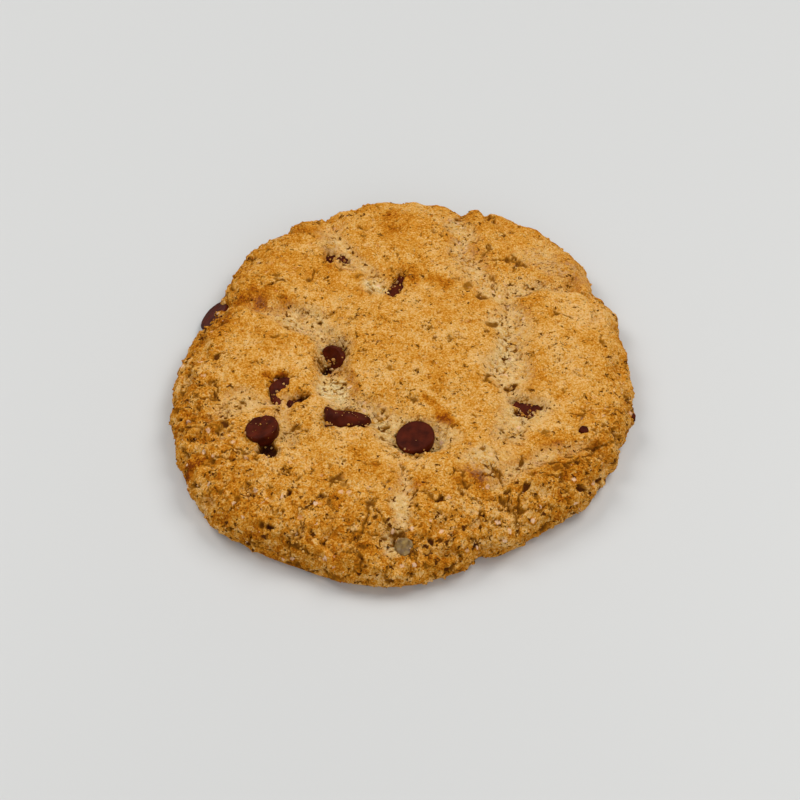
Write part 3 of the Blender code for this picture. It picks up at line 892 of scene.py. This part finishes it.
def melted_sugar():
    """Sugar and butter that melted into a lump: smooth and cloudy, amber brown with light in it."""
    material = bpy.data.materials.new("melted sugar")
    material.use_nodes = True
    tree = material.node_tree
    surface = tree.nodes["Principled BSDF"]
    place = add(tree, "ShaderNodeTexCoord").outputs["Object"]
    cloud = add(tree, "ShaderNodeTexNoise", {"Vector": place, "Scale": 1 / (1.2 * MM), "Detail": 3.0})
    share = add(tree, "ShaderNodeMapRange",
                {"Value": cloud.outputs["Fac"], "From Min": 0.35, "From Max": 0.65}).outputs[0]
    color = add(tree, "ShaderNodeMix", {0: share, 6: paint("6A4A14"), 7: paint("9E8046")}, data_type="RGBA")
    tree.links.new(color.outputs[2], surface.inputs["Base Color"])
    surface.inputs["Roughness"].default_value = 0.35
    surface.inputs["IOR"].default_value = 1.50
    surface.inputs["Subsurface Weight"].default_value = 0.4
    surface.inputs["Subsurface Radius"].default_value = (0.8, 0.6, 0.3)
    surface.inputs["Subsurface Scale"].default_value = 1.0 * MM
    return material


def sugar_crystal():
    """Grains of sugar that didn't melt: clear, with a faint pink cast over the crust, glinting."""
    material = bpy.data.materials.new("sugar crystal")
    material.use_nodes = True
    tree = material.node_tree
    surface = tree.nodes["Principled BSDF"]
    place = add(tree, "ShaderNodeTexCoord").outputs["Object"]
    cast = add(tree, "ShaderNodeTexNoise", {"Vector": place, "Scale": 1 / (3.0 * MM)})
    color = add(tree, "ShaderNodeMix", {0: cast.outputs["Fac"], 6: paint("E2AC6C"), 7: paint("ECC49A")},
                data_type="RGBA")
    tree.links.new(color.outputs[2], surface.inputs["Base Color"])
    surface.inputs["Roughness"].default_value = 0.25
    surface.inputs["IOR"].default_value = 1.56
    return material


def drop_section(width, length, shape):
    """Half section of a drop, as radii and heights, from its tip to the middle of its base."""
    radius, fillet = width / 2, DROP_FILLET
    power, body = shape
    climb = np.linspace(1, 0, 28)
    thick = body + (1 - body) * np.exp(-((climb / RIM_SHARE) ** 2))
    side = radius * thick * (1 - climb**power) ** 0.9
    side_height = fillet + (length - fillet) * climb
    bend = np.linspace(0, math.pi / 2, 7)[1:]
    corner = radius - fillet * (1 - np.cos(bend))
    corner_height = fillet * (1 - np.sin(bend))
    flat = (radius - fillet) * np.linspace(1, 0, 12)[1:]
    return (np.concatenate((side, corner, flat)), np.concatenate((side_height, corner_height, np.zeros(11))))


def make_drop(name, material, place, aim, size, melt, seed):
    """One chocolate drop, turned, laid in place, softened by the oven, and kept above the base."""
    shape = SLUMPED if name.startswith("chip_bar") else WHOLE
    radii, heights = drop_section(size[0] * DROP_WIDTH, size[1] * DROP_LENGTH, shape)
    turns = np.arange(DROP_SIDES) / DROP_SIDES * math.tau
    shell = bmesh.new()
    rings = []
    for radius, height in zip(radii, heights):
        if radius < 1e-7:
            rings.append([shell.verts.new((0, 0, height))])
        else:
            rings.append([shell.verts.new((radius * math.cos(turn), radius * math.sin(turn), height))
                          for turn in turns])
    for upper, lower in zip(rings, rings[1:]):
        for side in range(DROP_SIDES):
            after = (side + 1) % DROP_SIDES
            corners = [upper[side % len(upper)], lower[side % len(lower)],
                       lower[after % len(lower)], upper[after % len(upper)]]
            shell.faces.new(list(dict.fromkeys(corners)))
    bmesh.ops.recalc_face_normals(shell, faces=shell.faces)
    turn, dip = (math.radians(angle) for angle in aim)
    tip = Vector((math.cos(turn) * math.cos(dip), math.sin(turn) * math.cos(dip), -math.sin(dip)))
    bmesh.ops.transform(shell, verts=shell.verts,
                        matrix=Matrix.Translation(place) @ tip.to_track_quat("Z", "Y").to_matrix().to_4x4())
    shell.normal_update()
    points = np.array([vertex.co for vertex in shell.verts])
    dent = sum(depth * melt * bumps(points, wide, seed + order) for order, (wide, depth) in enumerate(DENTS))
    for vertex, depth in zip(shell.verts, dent):
        vertex.co += vertex.normal * float(depth)
        vertex.co.z = max(vertex.co.z, 0)
    mesh = bpy.data.meshes.new(name)
    shell.to_mesh(mesh)
    shell.free()
    return finish_object(name, mesh, material)


def make_chips(chocolate, sugar):
    """A detailed drop for each chip of the frame, and the lump of melted sugar."""
    for order, (name, ((x, y, above), aim, size)) in enumerate(CHIPS.items()):
        place = Vector((x, y, crust_height(x, y) + above))
        is_lump = name == "lump_front"
        chip = make_drop(f"{name}_piece", sugar if is_lump else chocolate, place, aim, size,
                         SOFTENED.get(name, SOFTENED_OTHERS), 60 + 2 * order)
        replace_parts(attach(chip, "root"), name)


def scatter(material, name, count, chance_of, sizes, sunk, steps, seed):
    """
    Many small grains as one mesh. Each sits on the dough at a place drawn by a seed and
    kept by chance_of, is sized between two diameters, and is sunk by a share of its size.
    """
    draw = np.random.default_rng(seed)
    tries = 12 * count
    places = draw.uniform(-1, 1, (2, tries))
    points, normals, values = dough_skin(*places)
    heights = points[:, 2]
    kept = (draw.random(tries) < chance_of(values)) & (heights > LOWEST_GRAIN) & (heights < HIGHEST_GRAIN)
    kept = np.flatnonzero(kept)[:count]
    grain = bmesh.new()
    bmesh.ops.create_icosphere(grain, subdivisions=steps, radius=0.5)
    grain.verts.ensure_lookup_table()
    ball = np.array([vertex.co for vertex in grain.verts])
    faces = np.array([[vertex.index for vertex in face.verts] for face in grain.faces])
    grain.free()
    diameters = sizes[0] + (sizes[1] - sizes[0]) * draw.random(len(kept)) ** 2.5
    spins = draw.normal(size=(len(kept), 3, 3))
    spins = np.linalg.qr(spins)[0]
    stretch = draw.uniform(0.65, 1.25, (len(kept), 1, 3))
    shapes = ball[None] * (1 + 0.28 * np.sin(7 * ball[None] @ draw.normal(size=(len(kept), 3, 1))))
    shapes = np.matmul(shapes * stretch, spins) * diameters[:, None, None]
    centres = points[kept] + normals[kept] * (diameters * (0.5 - sunk))[:, None]
    corners = (shapes + centres[:, None]).reshape(-1, 3)
    corners[:, 2] = np.clip(corners[:, 2], 0, HIGHEST_GRAIN + 0.0005)
    shift = np.arange(len(kept))[:, None, None] * len(ball)
    mesh = bpy.data.meshes.new(name)
    mesh.from_pydata(corners.tolist(), [], (faces[None] + shift).reshape(-1, 3).tolist())
    for label, value in values.items():
        layer = mesh.attributes.new(label, "FLOAT", "POINT")
        spread = draw.normal(0, 0.10, len(kept)) if label == "toast" else 0
        share = 0.0 if label == "shaded_pore" else 1.0
        layer.data.foreach_set("value", np.repeat(np.clip(value[kept] * share + spread, 0, 1), len(ball)))
    return finish_object(name, mesh, material)


def make_grains(dough_finish):
    """Loose crumbs of the crust and sugar that didn't melt, most of them where it is rough."""
    crumbs = scatter(dough_finish, "crumbs", CRUMB_COUNT, lambda values: 0.02 + 0.5 * values["rough"],
                     CRUMB_SIZES, 0.68, 2, SEED + 80)
    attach(crumbs, "root")
    sugar = scatter(sugar_crystal(), "sugar", SUGAR_COUNT, lambda values: 0.01 + 0.4 * values["rough"],
                    SUGAR_SIZES, 0.35, 1, SEED + 90)
    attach(sugar, "root")


def crumbs_on_chips(material, dough):
    """
    Crumbs of dough that cling to the chips: the larger ones along the torn border of
    the dough, and specks on what shows of the chip.
    """
    draw = np.random.default_rng(SEED + 70)
    drops = bmesh.new()
    tone, paleness, roughness = (drops.verts.layers.float.new(name) for name in ("toast", "pale", "rough"))
    for name, (along_border, specks) in CLINGING.items():
        chip = bpy.data.objects[f"{name}_piece"].data
        shown = [vertex for vertex in chip.vertices if vertex.normal.z > 0.1]
        gaps = []
        for vertex in shown:
            _, near, way, _ = dough.closest_point_on_mesh(vertex.co)
            gaps.append((vertex.co - near).dot(way))
        gaps = np.array(gaps)
        for count, sizes, places in (
            (along_border, BORDER_CRUMBS, np.flatnonzero(np.abs(gaps - BORDER_GAP / 2) < BORDER_GAP / 2)),
            (specks, SPECKS, np.flatnonzero(gaps > 0)),
        ):
            for place in draw.choice(places, min(count, len(places)), replace=False):
                size = sizes[0] + (sizes[1] - sizes[0]) * draw.random() ** 2
                middle = shown[place].co + shown[place].normal * size * 0.15
                wave = Vector(draw.normal(size=3)) * 6 / size
                squash = draw.uniform(0.6, 1.2, 3)
                for vertex in bmesh.ops.create_icosphere(drops, subdivisions=2, radius=size / 2)["verts"]:
                    vertex.co *= 1 + 0.28 * math.sin(vertex.co.dot(wave))
                    vertex.co = Vector(vertex.co * Vector(squash)) + middle
                    vertex[tone], vertex[paleness], vertex[roughness] = 0.55, 0.35, 0.8
    mesh = bpy.data.meshes.new("crumbs_on_chips")
    drops.to_mesh(mesh)
    drops.free()
    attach(finish_object("crumbs_on_chips", mesh, material), "root")


def make_floor():
    """A plain pale floor, smooth and slightly satin."""
    bpy.ops.mesh.primitive_plane_add(size=3)
    floor = bpy.context.object
    floor.name = "floor"
    material = bpy.data.materials.new("pale floor")
    material.use_nodes = True
    surface = material.node_tree.nodes["Principled BSDF"]
    surface.inputs["Base Color"].default_value = paint("CECFCF")
    surface.inputs["Roughness"].default_value = 0.5
    floor.data.materials.append(material)


def make_light():
    """Soft light from above and behind, with a pale room round it."""
    world = bpy.data.worlds.new("room")
    bpy.context.scene.world = world
    world.use_nodes = True
    sky = world.node_tree.nodes["Background"]
    sky.inputs["Color"].default_value = (0.95, 0.975, 1.0, 1)
    sky.inputs["Strength"].default_value = ROOM_STRENGTH
    for name, place, size, power in LAMPS:
        lamp = bpy.data.lights.new(name, "AREA")
        lamp.size = size
        lamp.energy = power
        lamp.color = (1.0, 0.98, 0.95)
        source = bpy.data.objects.new(name, lamp)
        source.location = place
        source.rotation_euler = (Vector((0, 0, 0)) - Vector(place)).to_track_quat("-Z", "Y").to_euler()
        bpy.context.scene.collection.objects.link(source)


def make_camera():
    """The camera of the photograph: its place, its three axes, and its lens."""
    right = Vector(CAMERA_RIGHT)
    up = Vector(CAMERA_UP)
    back = right.cross(up).normalized()
    lens = bpy.data.cameras.new("camera")
    lens.lens = LENS_MM
    lens.sensor_width = 36
    lens.clip_start = 0.01
    camera = bpy.data.objects.new("camera", lens)
    camera.matrix_world = Matrix.Translation(CAMERA_PLACE) @ Matrix((right, up, back)).transposed().to_4x4()
    bpy.context.scene.collection.objects.link(camera)
    bpy.context.scene.camera = camera


def main():
    """The cookie on its floor, in its light, seen by the camera."""
    bpy.context.scene.view_settings.view_transform = "Standard"
    make_camera()
    make_light()
    make_floor()
    dough_finish = baked_dough()
    dough = make_dough(dough_finish)
    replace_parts(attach(dough, "root"), "cookie")
    make_chips(dark_chocolate(), melted_sugar())
    make_grains(dough_finish)
    crumbs_on_chips(dough_finish, dough)


main()
